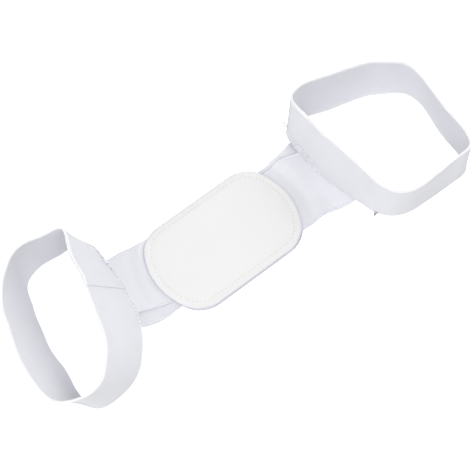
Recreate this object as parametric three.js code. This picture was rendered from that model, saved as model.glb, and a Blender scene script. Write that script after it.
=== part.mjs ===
// Posture corrector lying on a table: two padded plates with two wide elastic bands crossed
// between them, and an arm loop of the same webbing standing on its edge at each end.
// Millimetres. The origin is on the table under the middle of the plates, +X runs along the
// plates towards the wider loop, +Y across them, +Z up.

import * as THREE from 'three';

// Webbing and plates
const webbing_width = 50;
const webbing_thick = 1.8;
const webbing_edge = 0.5;
const layer_gap = 0.3;
const seam_gap = 0.5;
const plate_length = 117;
const plate_width = 72.5;
const plate_end_radius = 50;
const plate_corner_radius = 24;
const plate_thick = 2.4;
const back_plate_shift = 1.8;
const plate_crown = 0.5;
const stitch_inset = 5;
const stitch_dip = 0.25;

// Arm loops: the box of each foot line, and how much band shows between plate and loop
const right_loop_length = 98;
const right_loop_width = 109;
const right_loop_shift = -11.5;
const right_band_run = 28.5;
const left_loop_length = 74;
const left_loop_width = 113;
const left_loop_shift = 9.5;
const left_band_run = 16.5;
const right_loop_overlap = 26;
const left_loop_overlap = 50;
const inner_layer_set = 1.1;
const right_seam_place = 0.0;
const left_seam_place = 0.83;

// Cross bands: how they come down from the plates, and how they turn up inside the loops
const drape_start = 1;
const drape_run = 11;
const ridge_height = 2.4;
const ridge_place = 0.55;
const ridge_spread = 0.22;
const turned_end = 10;
const fold_radius = 1.5;

// Mesh steps
const loop_steps = 72;
const near_steps = 12;
const far_steps = 15;
const middle_steps = 6;
const band_columns = 10;
const fold_steps = 4;
const corner_steps = 9;
const line_samples = 16;
const halvings = 30;

const layer_step = webbing_thick + layer_gap;
const band_lap = 2 * layer_step;
const half_thick = webbing_thick / 2;

// Foot line of the right loop, seen from above. along and across are shares of half the loop's
// length and width; lean_x and lean_y say how far the upper edge stands off the foot, in shares
// of the webbing's width; lift is the share of the band lap that the foot is raised by.
const RIGHT_ROWS = [
  { along: -0.885, across: 0.995, lean_x: 0.03, lean_y: 0.01, lift: 0.30 },
  { along: -0.615, across: 1.02, lean_x: 0.02, lean_y: 0.055, lift: 0.10 },
  { along: -0.355, across: 0.955, lean_x: 0.02, lean_y: 0.07, lift: 0.00 },
  { along: -0.105, across: 0.875, lean_x: 0.02, lean_y: 0.08, lift: 0.00 },
  { along: 0.42, across: 0.74, lean_x: 0.00, lean_y: 0.045, lift: 0.00 },
  { along: 0.67, across: 0.62, lean_x: -0.03, lean_y: 0.025, lift: 0.00 },
  { along: 0.90, across: 0.47, lean_x: -0.06, lean_y: 0.00, lift: 0.00 },
  { along: 1.01, across: 0.25, lean_x: -0.12, lean_y: -0.02, lift: 0.00 },
  { along: 1.00, across: 0.01, lean_x: -0.135, lean_y: -0.01, lift: 0.00 },
  { along: 0.91, across: -0.47, lean_x: -0.095, lean_y: 0.01, lift: 0.00 },
  { along: 0.90, across: -0.73, lean_x: -0.10, lean_y: 0.01, lift: 0.00 },
  { along: 0.81, across: -0.95, lean_x: -0.10, lean_y: 0.01, lift: 0.00 },
  { along: 0.51, across: -0.985, lean_x: -0.06, lean_y: 0.00, lift: 0.00 },
  { along: -0.04, across: -0.965, lean_x: -0.04, lean_y: -0.03, lift: 0.00 },
  { along: -0.31, across: -0.945, lean_x: -0.04, lean_y: -0.045, lift: 0.10 },
  { along: -0.54, across: -0.855, lean_x: -0.05, lean_y: -0.035, lift: 0.40 },
  { along: -0.705, across: -0.68, lean_x: -0.01, lean_y: 0.00, lift: 0.90 },
  { along: -0.80, across: -0.41, lean_x: 0.05, lean_y: -0.01, lift: 1.00 },
  { along: -0.93, across: 0.05, lean_x: 0.125, lean_y: 0.01, lift: 1.00 },
  { along: -1.00, across: 0.52, lean_x: 0.12, lean_y: 0.00, lift: 1.00 },
  { along: -1.00, across: 0.77, lean_x: 0.09, lean_y: -0.01, lift: 1.00 },
];

// Foot line of the left loop, with the same columns; this loop leans away from the plates.
const LEFT_ROWS = [
  { along: 0.80, across: 0.94, lean_x: -0.195, lean_y: -0.045, lift: 0.50 },
  { along: 0.41, across: 0.955, lean_x: -0.15, lean_y: 0.00, lift: 0.20 },
  { along: 0.08, across: 0.98, lean_x: -0.13, lean_y: 0.03, lift: 0.00 },
  { along: -0.24, across: 0.955, lean_x: -0.13, lean_y: 0.05, lift: 0.00 },
  { along: -0.47, across: 0.855, lean_x: -0.155, lean_y: 0.05, lift: 0.00 },
  { along: -0.575, across: 0.66, lean_x: -0.275, lean_y: 0.10, lift: 0.00 },
  { along: -0.675, across: 0.475, lean_x: -0.34, lean_y: 0.125, lift: 0.00 },
  { along: -0.745, across: 0.28, lean_x: -0.375, lean_y: 0.135, lift: 0.00 },
  { along: -0.82, across: 0.085, lean_x: -0.39, lean_y: 0.13, lift: 0.00 },
  { along: -0.85, across: -0.125, lean_x: -0.46, lean_y: 0.10, lift: 0.00 },
  { along: -0.865, across: -0.335, lean_x: -0.50, lean_y: 0.06, lift: 0.00 },
  { along: -0.92, across: -0.53, lean_x: -0.465, lean_y: -0.04, lift: 0.00 },
  { along: -0.945, across: -0.72, lean_x: -0.38, lean_y: -0.085, lift: 0.00 },
  { along: -0.865, across: -0.915, lean_x: -0.22, lean_y: -0.03, lift: 0.00 },
  { along: -0.64, across: -1.00, lean_x: -0.16, lean_y: 0.01, lift: 0.00 },
  { along: -0.31, across: -1.00, lean_x: -0.19, lean_y: 0.075, lift: 0.00 },
  { along: 0.04, across: -0.955, lean_x: -0.275, lean_y: 0.18, lift: 0.30 },
  { along: 0.34, across: -0.83, lean_x: -0.35, lean_y: 0.225, lift: 0.60 },
  { along: 0.575, across: -0.67, lean_x: -0.44, lean_y: 0.24, lift: 1.00 },
  { along: 0.77, across: -0.45, lean_x: -0.525, lean_y: 0.21, lift: 1.00 },
  { along: 0.905, across: -0.205, lean_x: -0.56, lean_y: 0.15, lift: 1.00 },
  { along: 0.97, across: 0.03, lean_x: -0.54, lean_y: 0.11, lift: 1.00 },
  { along: 1.00, across: 0.27, lean_x: -0.51, lean_y: 0.06, lift: 1.00 },
  { along: 1.00, across: 0.50, lean_x: -0.48, lean_y: 0.02, lift: 1.00 },
  { along: 0.99, across: 0.755, lean_x: -0.40, lean_y: -0.075, lift: 1.00 },
];

// Middle line of each cross band. reach is a share of the way from the middle of the plates
// to the loop's near wall (negative to the left); aside is a share of the webbing's width, and
// wide is the width there as a share of it, less where the seam gathers the webbing.
const UPPER_BAND_ROWS = [
  { reach: -1.15, aside: 0.40, wide: 0.88 },
  { reach: -0.97, aside: 0.32, wide: 0.91 },
  { reach: -0.86, aside: 0.27, wide: 0.98 },
  { reach: -0.72, aside: 0.205, wide: 1.01 },
  { reach: 0.00, aside: 0.08, wide: 1.00 },
  { reach: 0.69, aside: -0.06, wide: 1.04 },
  { reach: 0.82, aside: -0.05, wide: 1.07 },
  { reach: 0.95, aside: -0.11, wide: 1.09 },
  { reach: 1.10, aside: -0.16, wide: 1.07 },
];
const LOWER_BAND_ROWS = [
  { reach: -1.15, aside: 0.27, wide: 0.95 },
  { reach: -0.95, aside: 0.17, wide: 1.00 },
  { reach: -0.70, aside: 0.10, wide: 1.00 },
  { reach: 0.00, aside: 0.05, wide: 1.00 },
  { reach: 0.64, aside: 0.03, wide: 1.00 },
  { reach: 0.86, aside: 0.09, wide: 1.00 },
  { reach: 1.10, aside: 0.19, wide: 1.00 },
];

// Cut through a plate from the middle of its under side to the middle of its upper side:
// inset from the outline in shares of the stitch inset (a share of 1 is the stitch line),
// height in shares of the plate's thickness, and how much of the crown and dip is added.
const PLATE_ROWS = [
  { inset: 0.30, height: 0.00, crown: 0, dip: 0 },
  { inset: 0.10, height: 0.12, crown: 0, dip: 0 },
  { inset: 0.00, height: 0.40, crown: 0, dip: 0 },
  { inset: 0.02, height: 0.75, crown: 0, dip: 0 },
  { inset: 0.14, height: 0.95, crown: 0, dip: 0 },
  { inset: 0.34, height: 1.00, crown: 0, dip: 0 },
  { inset: 0.80, height: 1.00, crown: 0, dip: 0 },
  { inset: 1.00, height: 1.00, crown: 0, dip: 1 },
  { inset: 1.25, height: 1.00, crown: 0.3, dip: 0 },
  { inset: 2.20, height: 1.00, crown: 1, dip: 0 },
];

// Smooth step from 0 to 1.
function ease(share) {
  const part = Math.min(Math.max(share, 0), 1);
  return part * part * (3 - 2 * part);
}

// Even steps from one value to another, without the first.
function steps(from, to, count) {
  return Array.from({ length: count }, (_, step) => from + (to - from) * (step + 1) / count);
}

// Closed triangle mesh from rings of points that follow one another; each ring has the same
// count, and both ends are closed with a fan.
function skin(name, rings, material) {
  const count = rings[0].length;
  const points = rings.flat();
  const faces = [];
  for (let row = 0; row < rings.length - 1; row += 1) {
    const here = row * count;
    const next = here + count;
    for (let column = 0; column < count; column += 1) {
      const after = (column + 1) % count;
      faces.push(here + column, here + after, next + after);
      faces.push(here + column, next + after, next + column);
    }
  }
  for (const end of [0, rings.length - 1]) {
    const middle = new THREE.Vector3();
    rings[end].forEach((point) => middle.addScaledVector(point, 1 / count));
    const hub = points.push(middle) - 1;
    for (let column = 0; column < count; column += 1) {
      const here = end * count + column;
      const after = end * count + ((column + 1) % count);
      faces.push(...(end === 0 ? [hub, after, here] : [hub, here, after]));
    }
  }
  const geometry = new THREE.BufferGeometry().setFromPoints(points);
  geometry.setIndex(faces);
  geometry.computeVertexNormals();
  const mesh = new THREE.Mesh(geometry, material);
  mesh.name = name;
  return mesh;
}

// Plates: straight long sides, round corners and bowed ends.
const bow_middle = plate_length / 2 - plate_end_radius;
const corner_across = plate_width / 2 - plate_corner_radius;
const corner_along = bow_middle
  + Math.sqrt((plate_end_radius - plate_corner_radius) ** 2 - corner_across ** 2);
const bow_angle = Math.atan2(corner_across, corner_along - bow_middle);
const flat_run = corner_along + plate_corner_radius / 2;

// Outline of a plate, moved inwards by an inset, as points on one level.
function plateRing(inset, level) {
  const quarter = [];
  for (let step = 0; step <= corner_steps; step += 1) {
    const angle = bow_angle * step / corner_steps;
    const radius = plate_end_radius - inset;
    quarter.push([bow_middle + radius * Math.cos(angle), radius * Math.sin(angle)]);
  }
  for (let step = 1; step <= corner_steps; step += 1) {
    const angle = bow_angle + (Math.PI / 2 - bow_angle) * step / corner_steps;
    const radius = plate_corner_radius - inset;
    quarter.push([corner_along + radius * Math.cos(angle), corner_across + radius * Math.sin(angle)]);
  }
  const mirrored = quarter.slice().reverse().map(([x, y]) => [-x, y]);
  const upper = [...quarter, ...mirrored];
  const lower = upper.slice(1, -1).reverse().map(([x, y]) => [x, -y]);
  return [...upper, ...lower].map(([x, y]) => new THREE.Vector3(x, y, level));
}

// How far a place lies outside the plates' outline; negative when it is under the plates.
function outsidePlates(x, y) {
  const along = Math.abs(x);
  const across = Math.abs(y);
  if (along < corner_along) {
    return across - plate_width / 2;
  }
  const angle = Math.atan2(across, along - bow_middle);
  if (angle < bow_angle) {
    return Math.hypot(along - bow_middle, across) - plate_end_radius;
  }
  return Math.hypot(along - corner_along, across - corner_across) - plate_corner_radius;
}

function plate(name, base, crown, material) {
  const rings = PLATE_ROWS.map((row) => {
    const level = base + row.height * plate_thick + row.crown * crown - row.dip * stitch_dip;
    return plateRing(row.inset * stitch_inset, level);
  });
  return skin(name, rings, material);
}

// Arm loops: a foot line and a head line, one webbing width apart in every section.
function loopShape(rows, length, width, middle_x, middle_y) {
  const foot = [];
  const head = [];
  const across = rows.map((row) => row.across);
  for (const row of rows) {
    const lean_x = row.lean_x * webbing_width;
    const lean_y = row.lean_y * webbing_width;
    const rise = Math.sqrt(webbing_width ** 2 - lean_x ** 2 - lean_y ** 2);
    const x = middle_x + row.along * length / 2;
    const y = middle_y + row.across * width / 2;
    const z = row.lift * band_lap;
    foot.push(new THREE.Vector3(x, y, z));
    head.push(new THREE.Vector3(x + lean_x, y + lean_y, z + rise));
  }
  return {
    foot: new THREE.CatmullRomCurve3(foot, true, 'centripetal'),
    head: new THREE.CatmullRomCurve3(head, true, 'centripetal'),
    way: THREE.ShapeUtils.area(foot) < 0 ? 1 : -1,
    lowest: across.lastIndexOf(Math.min(...across)) / rows.length,
  };
}

// One section of a loop's wall: foot point, unit vector up the wall and unit vector out of it.
// place counts the rows of the table, as a share of them all.
function wallAt(shape, place) {
  const part = ((place % 1) + 1) % 1;
  const foot = shape.foot.getPoint(part);
  foot.z = Math.max(foot.z, 0);
  const up = shape.head.getPoint(part).sub(foot).normalize();
  const ahead = shape.foot.getTangent(part).add(shape.head.getTangent(part)).normalize();
  const out = new THREE.Vector3().crossVectors(up, ahead).normalize().multiplyScalar(shape.way);
  return { foot, up, out };
}

// A loop is one strip that runs a little more than once round: it starts as the inner layer
// of the lap, and its last stretch lies outside its own start. outer_end is where the outer
// end is cut, as a share of the length of the foot line; turn is +1 or -1 for the way the
// strip runs along the rows. It moves out by one layer on its way round, clear of both laps.
function armLoop(name, shape, overlap, outer_end, turn, material) {
  const lap = overlap / shape.foot.getLength();
  const rings = [];
  for (let step = 0; step <= loop_steps; step += 1) {
    const run = (1 + lap) * step / loop_steps;
    const share = (outer_end + turn * (run - lap) + 2) % 1;
    const wall = wallAt(shape, shape.foot.getUtoTmapping(share));
    const level = 1 - wall.out.z * wall.out.z;
    const aside = layer_step / level * ease((run - 2 * lap) / (1 - 2.5 * lap)) - inner_layer_set;
    const inner = wall.foot.clone().addScaledVector(wall.out, aside - half_thick);
    inner.z = wall.foot.z + Math.max(0, -wall.out.z * webbing_thick);
    const edge = webbing_edge;
    const cut = [
      [0, edge], [0, webbing_thick - edge], [edge, webbing_thick],
      [webbing_width / 2, webbing_thick], [webbing_width - edge, webbing_thick],
      [webbing_width, webbing_thick - edge], [webbing_width, edge],
      [webbing_width - edge, 0], [webbing_width / 2, 0], [edge, 0],
    ];
    const ring = cut.map(([up, out]) => inner.clone()
      .addScaledVector(wall.up, up)
      .addScaledVector(wall.out, out));
    rings.push(turn * shape.way > 0 ? ring : ring.reverse());
  }
  return skin(name, rings, material);
}

// The section of a loop's near wall at a given y, found by halving. The near wall runs from
// the last row of the table back to the row where the foot line is lowest.
function nearWall(shape, y) {
  let above = 1;
  let below = shape.lowest;
  for (let turn = 0; turn < halvings; turn += 1) {
    const half = (above + below) / 2;
    if (wallAt(shape, half).foot.y > y) {
      above = half;
    } else {
      below = half;
    }
  }
  return wallAt(shape, (above + below) / 2);
}

const right_wall_x = plate_length / 2 + right_band_run;
const left_wall_x = -(plate_length / 2 + left_band_run);
const right_shape = loopShape(RIGHT_ROWS, right_loop_length, right_loop_width,
  right_wall_x + right_loop_length / 2, right_loop_shift);
const left_shape = loopShape(LEFT_ROWS, left_loop_length, left_loop_width,
  left_wall_x - left_loop_length / 2, left_loop_shift);

// Where a band lies for a given x: the y of its middle line, and half its width.
function middleLine(rows) {
  const points = rows.map((row) => {
    const reach = row.reach < 0 ? -left_wall_x : right_wall_x;
    const aside = row.aside * webbing_width;
    return new THREE.Vector3(row.reach * reach, aside, row.wide * webbing_width / 2);
  });
  const curve = new THREE.CatmullRomCurve3(points, false, 'centripetal');
  const samples = curve.getPoints(line_samples * rows.length);
  return (x) => {
    let index = samples.findIndex((point) => point.x > x);
    index = index < 0 ? samples.length - 1 : Math.max(index, 1);
    const before = samples[index - 1];
    const share = (x - before.x) / (samples[index].x - before.x);
    const point = before.clone().lerp(samples[index], share);
    return { y: point.y, half_wide: point.z };
  };
}

// Height of the lower band's middle surface: raised on the back plate, draped to the table
// beyond its edge, with one soft ridge across the longer run on the right.
function bandHeight(x, y) {
  const outside = outsidePlates(x, y);
  const on_table = half_thick;
  const on_plate = plate_thick + layer_gap + half_thick;
  const drape = on_plate + (on_table - on_plate) * ease((outside - drape_start) / drape_run);
  if (x < 0) {
    return drape;
  }
  const place = outside / right_band_run;
  const from_ridge = (place - ridge_place) / ridge_spread;
  return drape + ridge_height * Math.exp(-from_ridge * from_ridge) * ease(outside / drape_run);
}

// Where a band passes under a loop's foot and turns up inside it: the points of the fold and
// of the turned-up end, from the table to the end's edge. layer is 0 for the lower band.
function turnedEnd(wall, layer) {
  const radius = fold_radius + (1 - layer) * layer_step;
  const inward = new THREE.Vector3(-wall.out.x, -wall.out.y, 0).normalize();
  const lean = Math.atan2(wall.up.dot(inward), wall.up.z);
  const level = half_thick + layer * layer_step;
  const centre_up = level + radius;
  const over_foot = centre_up - wall.foot.z;
  const apart = inner_layer_set + webbing_thick + seam_gap - fold_radius;
  const centre_in = (apart + over_foot * Math.sin(lean)) / Math.cos(lean);
  const place = (inwards, up) => wall.foot.clone().setZ(up).addScaledVector(inward, inwards);
  const points = [];
  const bend = Math.PI / 2 - lean;
  for (let step = 0; step <= fold_steps; step += 1) {
    const angle = bend * step / fold_steps;
    points.push(place(centre_in + radius * Math.sin(angle), centre_up - radius * Math.cos(angle)));
  }
  const along_in = Math.sin(lean) * turned_end;
  const along_up = Math.cos(lean) * turned_end;
  points.push(place(centre_in + radius * Math.cos(lean) + along_in,
    centre_up - radius * Math.sin(lean) + along_up));
  return points;
}

// A cross band: lines of points from one turned-up end over the plates to the other, worked
// out for each place across the webbing, then given its thickness.
function crossBand(name, rows, layer, material) {
  const middle = middleLine(rows);
  const lines = [];
  for (let column = 0; column <= band_columns; column += 1) {
    const across = 2 * column / band_columns - 1;
    const aside = (x) => middle(x).y + across * middle(x).half_wide;
    const left_wall = nearWall(left_shape, aside(left_wall_x));
    const right_wall = nearWall(right_shape, aside(right_wall_x));
    const left_end = turnedEnd(left_wall, layer).reverse();
    const right_end = turnedEnd(right_wall, layer);
    const from = left_end[left_end.length - 1];
    const to = right_end[0];
    const places = [
      ...steps(from.x, -flat_run, near_steps),
      ...steps(-flat_run, flat_run, middle_steps),
      ...steps(flat_run, to.x, far_steps),
    ].slice(0, -1);
    const line = places.map((x) => {
      const from_off = (from.y - aside(from.x)) * ease((x + flat_run) / (from.x + flat_run));
      const to_off = (to.y - aside(to.x)) * ease((x - flat_run) / (to.x - flat_run));
      const y = aside(x) + from_off + to_off;
      return new THREE.Vector3(x, y, bandHeight(x, y) + layer * layer_step);
    });
    lines.push([...left_end, ...line, ...right_end]);
  }
  return thicken(name, lines, material);
}

// Gives a grid of points its thickness, half to each side, and closes it all round.
function thicken(name, lines, material) {
  const columns = lines.length;
  const stations = lines[0].length;
  const normals = lines.map((line, column) => line.map((point, station) => {
    const ahead = new THREE.Vector3().subVectors(
      line[Math.min(station + 1, stations - 1)], line[Math.max(station - 1, 0)]);
    const aside = new THREE.Vector3().subVectors(
      lines[Math.min(column + 1, columns - 1)][station], lines[Math.max(column - 1, 0)][station]);
    return new THREE.Vector3().crossVectors(ahead, aside).normalize();
  }));
  const rings = [];
  for (let station = 0; station < stations; station += 1) {
    const side = (way) => lines.map((line, column) => {
      const at_edge = column === 0 || column === columns - 1;
      const thick = at_edge ? half_thick - webbing_edge : half_thick;
      return line[station].clone().addScaledVector(normals[column][station], way * thick);
    });
    rings.push([...side(-1), ...side(1).reverse()]);
  }
  return skin(name, rings, material);
}

const leatherette = new THREE.MeshStandardMaterial({ color: 0xefefee, roughness: 0.55, metalness: 0 });
const elastic = new THREE.MeshStandardMaterial({ color: 0xe6e7ed, roughness: 0.9, metalness: 0 });

const front_base = plate_thick + band_lap + layer_gap;
const back_plate = plate('back_plate', 0, 0, leatherette.clone());
back_plate.position.x = back_plate_shift;
const front_plate = plate('front_plate', front_base, plate_crown, leatherette.clone());
const lower_cross_band = crossBand('lower_cross_band', LOWER_BAND_ROWS, 0, elastic.clone());
const upper_cross_band = crossBand('upper_cross_band', UPPER_BAND_ROWS, 1, elastic.clone());
const right_arm_loop = armLoop('right_arm_loop', right_shape, right_loop_overlap,
  right_seam_place, 1, elastic.clone());
const left_arm_loop = armLoop('left_arm_loop', left_shape, left_loop_overlap,
  left_seam_place, -1, elastic.clone());

const posture_corrector = new THREE.Group();
posture_corrector.name = 'posture_corrector';
posture_corrector.add(back_plate, front_plate, lower_cross_band, upper_cross_band,
  right_arm_loop, left_arm_loop);

export default posture_corrector;
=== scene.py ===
# %% [markdown]
# # A posture corrector, dressed in Blender
#
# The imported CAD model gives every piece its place. This script puts a detailed piece over each
# plain solid: woven elastic for the bands and the arm loops, padded leatherette for the plates,
# and the thread that holds them together. Everything is in metres, in the CAD model's frame,
# with the origin on the table under the plates and +X towards the wider loop.

# %% Load the frame
import bpy
import numpy as np
from mathutils import Matrix, Vector


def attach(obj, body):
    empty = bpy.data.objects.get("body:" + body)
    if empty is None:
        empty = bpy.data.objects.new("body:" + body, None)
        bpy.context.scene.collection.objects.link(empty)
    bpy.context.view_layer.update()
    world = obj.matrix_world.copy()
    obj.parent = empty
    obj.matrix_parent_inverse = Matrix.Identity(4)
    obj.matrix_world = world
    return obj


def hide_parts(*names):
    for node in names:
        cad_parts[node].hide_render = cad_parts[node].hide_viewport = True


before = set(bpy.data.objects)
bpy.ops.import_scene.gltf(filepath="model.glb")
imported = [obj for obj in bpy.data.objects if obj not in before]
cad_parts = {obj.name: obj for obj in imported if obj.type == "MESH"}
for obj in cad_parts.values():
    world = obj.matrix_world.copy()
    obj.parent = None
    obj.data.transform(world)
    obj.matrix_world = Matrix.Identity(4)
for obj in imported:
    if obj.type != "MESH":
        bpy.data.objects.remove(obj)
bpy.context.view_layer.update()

MM = 0.001
print("nodes:", sorted(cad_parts))

# %% [markdown]
# ## Camera
#
# The object lies on a table and is seen steeply from above, turned so that its long side runs
# from the lower left to the upper right. A long lens at about a metre gives the weak
# perspective of a catalogue picture. The camera is built from three directions, right, up and
# back, so that it has no roll.

# %% Camera at the photograph's angle
ELEVATION = np.radians(68.0)
TURN = np.radians(-37.94)
DISTANCE = 1008 * MM
LOOK_AT = Vector((10.6 * MM, -0.44 * MM, 0.0))
FRAME_PIXELS = 470
FOCAL_PIXELS = 1400
SENSOR_MM = 36
CLIP_START = 50 * MM

back = Vector((np.sin(TURN) * np.cos(ELEVATION),
               -np.cos(TURN) * np.cos(ELEVATION),
               np.sin(ELEVATION)))
right = Vector((np.cos(TURN), np.sin(TURN), 0.0))
up = back.cross(right)
camera = bpy.data.objects.new("camera", bpy.data.cameras.new("camera"))
camera.data.sensor_width = SENSOR_MM
camera.data.lens = FOCAL_PIXELS * SENSOR_MM / FRAME_PIXELS
camera.data.clip_start = CLIP_START
camera.matrix_world = Matrix((
    (right.x, up.x, back.x, LOOK_AT.x + back.x * DISTANCE),
    (right.y, up.y, back.y, LOOK_AT.y + back.y * DISTANCE),
    (right.z, up.z, back.z, LOOK_AT.z + back.z * DISTANCE),
    (0.0, 0.0, 0.0, 1.0),
))
bpy.context.scene.collection.objects.link(camera)
bpy.context.scene.camera = camera
print("lens:", round(camera.data.lens, 1), "mm")

# %% [markdown]
# ## Smooth curves through a few rows
#
# A loop of webbing has no corners: it bends in long curves. A cubic spline gives those from a
# short table of places. It keeps the curvature continuous, which matters on cloth, because the
# eye reads every jump of curvature as a crease. The closed spline is solved as one small
# system of equations.

# %% Splines as whole arrays
def cubic_pieces(places, values, bend, wanted):
    """Values of a cubic spline at wanted places, from its values and second derivatives: the
    straight line between two places plus the cubic terms that the bends ask for."""
    step = np.diff(places)
    at = np.clip(np.searchsorted(places, wanted, side="right") - 1, 0, len(step) - 1)
    share = (wanted - places[at]) / step[at]
    a, b = (1 - share)[:, None], share[:, None]
    size = (step[at] ** 2 / 6)[:, None]
    return (a * values[at] + b * values[at + 1]
            + size * ((a ** 3 - a) * bend[at] + (b ** 3 - b) * bend[at + 1]))


def closed_spline(places, values, wanted):
    """Cubic spline through values at rising places, closed on itself: the second derivatives
    are those that make the slope continuous at every place."""
    count = len(places) - 1
    step = np.diff(places)
    rise = np.diff(values, axis=0) / step[:, None]
    matrix = np.zeros((count, count))
    index = np.arange(count)
    before = (index - 1) % count
    matrix[index, index] = 2 * (step[before] + step)
    matrix[index, before] += step[before]
    matrix[index, (index + 1) % count] += step
    bend = np.linalg.solve(matrix, 6 * (rise - rise[before]))
    return cubic_pieces(places, values, np.vstack([bend, bend[:1]]), wanted)


def open_spline(places, values, wanted):
    """Cubic spline through values at rising places, straight at both ends."""
    count = len(places)
    step = np.diff(places)
    rise = np.diff(values, axis=0) / step[:, None]
    matrix = np.eye(count)
    index = np.arange(1, count - 1)
    matrix[index, index - 1] = step[:-1]
    matrix[index, index] = 2 * (step[:-1] + step[1:])
    matrix[index, index + 1] = step[1:]
    load = np.zeros_like(values)
    load[1:-1] = 6 * (rise[1:] - rise[:-1])
    return cubic_pieces(places, values, np.linalg.solve(matrix, load), wanted)


def ease(share):
    """Smooth step from 0 to 1: three times the square less twice the cube."""
    part = np.clip(share, 0, 1)
    return part * part * (3 - 2 * part)


def unit(vectors):
    """Each vector divided by its length."""
    return vectors / np.linalg.norm(vectors, axis=-1, keepdims=True)


def walked_length(line):
    """Length walked along a line of points, from 0 at the first."""
    return np.concatenate([[0], np.cumsum(np.linalg.norm(np.diff(line, axis=0), axis=1))])


# %% [markdown]
# ## Grids into meshes
#
# Every piece here is a surface worked out as whole arrays and then handed to Blender in one
# go. The helper below writes the points and faces, turns the shell the right way out by its
# signed volume, and stores a UV map in centimetres along and across the cloth, so that the
# weave follows the webbing round each bend.

# %% Mesh helper
def make_mesh(name, points, faces, uv=None, marks=None):
    """Mesh object from points (n by 3), a list of face index arrays, UV per point and named
    numbers per point. Faces are turned round if the signed volume is negative."""
    corners = np.concatenate([face.ravel() for face in faces])
    totals = np.concatenate([np.full(len(face), face.shape[1]) for face in faces])
    starts = np.concatenate([[0], np.cumsum(totals)[:-1]])
    mesh = bpy.data.meshes.new(name)
    mesh.vertices.add(len(points))
    mesh.vertices.foreach_set("co", np.asarray(points, dtype=np.float32).ravel())
    mesh.loops.add(len(corners))
    mesh.loops.foreach_set("vertex_index", corners.astype(np.int32))
    mesh.polygons.add(len(totals))
    mesh.polygons.foreach_set("loop_start", starts.astype(np.int32))
    mesh.update(calc_edges=True)
    if uv is not None:
        layer = mesh.uv_layers.new(name="cloth")
        layer.data.foreach_set("uv", np.asarray(uv, dtype=np.float32)[corners].ravel())
    for mark, numbers in (marks or {}).items():
        mesh.attributes.new(mark, "FLOAT", "POINT").data.foreach_set(
            "value", np.asarray(numbers, dtype=np.float32))
    volume = sum(
        (points[face[:, 0]] * np.cross(points[face[:, k]], points[face[:, k + 1]])).sum()
        for face in faces for k in range(1, face.shape[1] - 1)) / 6
    if volume < 0:
        mesh.flip_normals()
    mesh.polygons.foreach_set("use_smooth", np.ones(len(totals), dtype=bool))
    mesh.validate()
    piece = bpy.data.objects.new(name, mesh)
    bpy.context.scene.collection.objects.link(piece)
    print(f"{name}: {len(totals)} faces, {abs(volume) * 1e6:.2f} cubic centimetres")
    return piece


def closed_rings(rows, count):
    """Quad faces between rings of count points each, every ring closed on itself."""
    row = np.arange(rows - 1)[:, None] * count
    here = row + np.arange(count)[None, :]
    after = row + np.roll(np.arange(count), -1)[None, :]
    return np.stack([here, after, after + count, here + count], axis=-1).reshape(-1, 4)


# %% [markdown]
# ## Woven elastic
#
# Wide elastic is woven with rubber threads running along it, so both faces carry fine ribs
# lengthwise, and its two long edges end in a slightly thicker selvedge. All the bands share
# one section: a flat strip whose half thickness rises and falls with the ribs and closes in a
# half circle at each edge. A grid of middle points, section by section, is enough to place it,
# whether it lies flat or stands on edge.

# %% Webbing
WEBBING_WIDTH = 50 * MM
WEBBING_THICK = 1.8 * MM
LAYER_GAP = 0.3 * MM
SEAM_GAP = 0.5 * MM
RIB_PITCH = 1.6 * MM
RIB_HEIGHT = 0.05 * MM
SELVEDGE = 1.7 * MM
GROOVE_DEPTH = 0.22 * MM
GROOVE_WIDTH = 0.45 * MM
COLUMNS = 157
EDGE_POINTS = 5
UV_SCALE = 100
HALF_THICK = WEBBING_THICK / 2
LAYER_STEP = WEBBING_THICK + LAYER_GAP
BAND_LAP = 2 * LAYER_STEP
ACROSS = np.linspace(-0.5, 0.5, COLUMNS)


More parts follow.
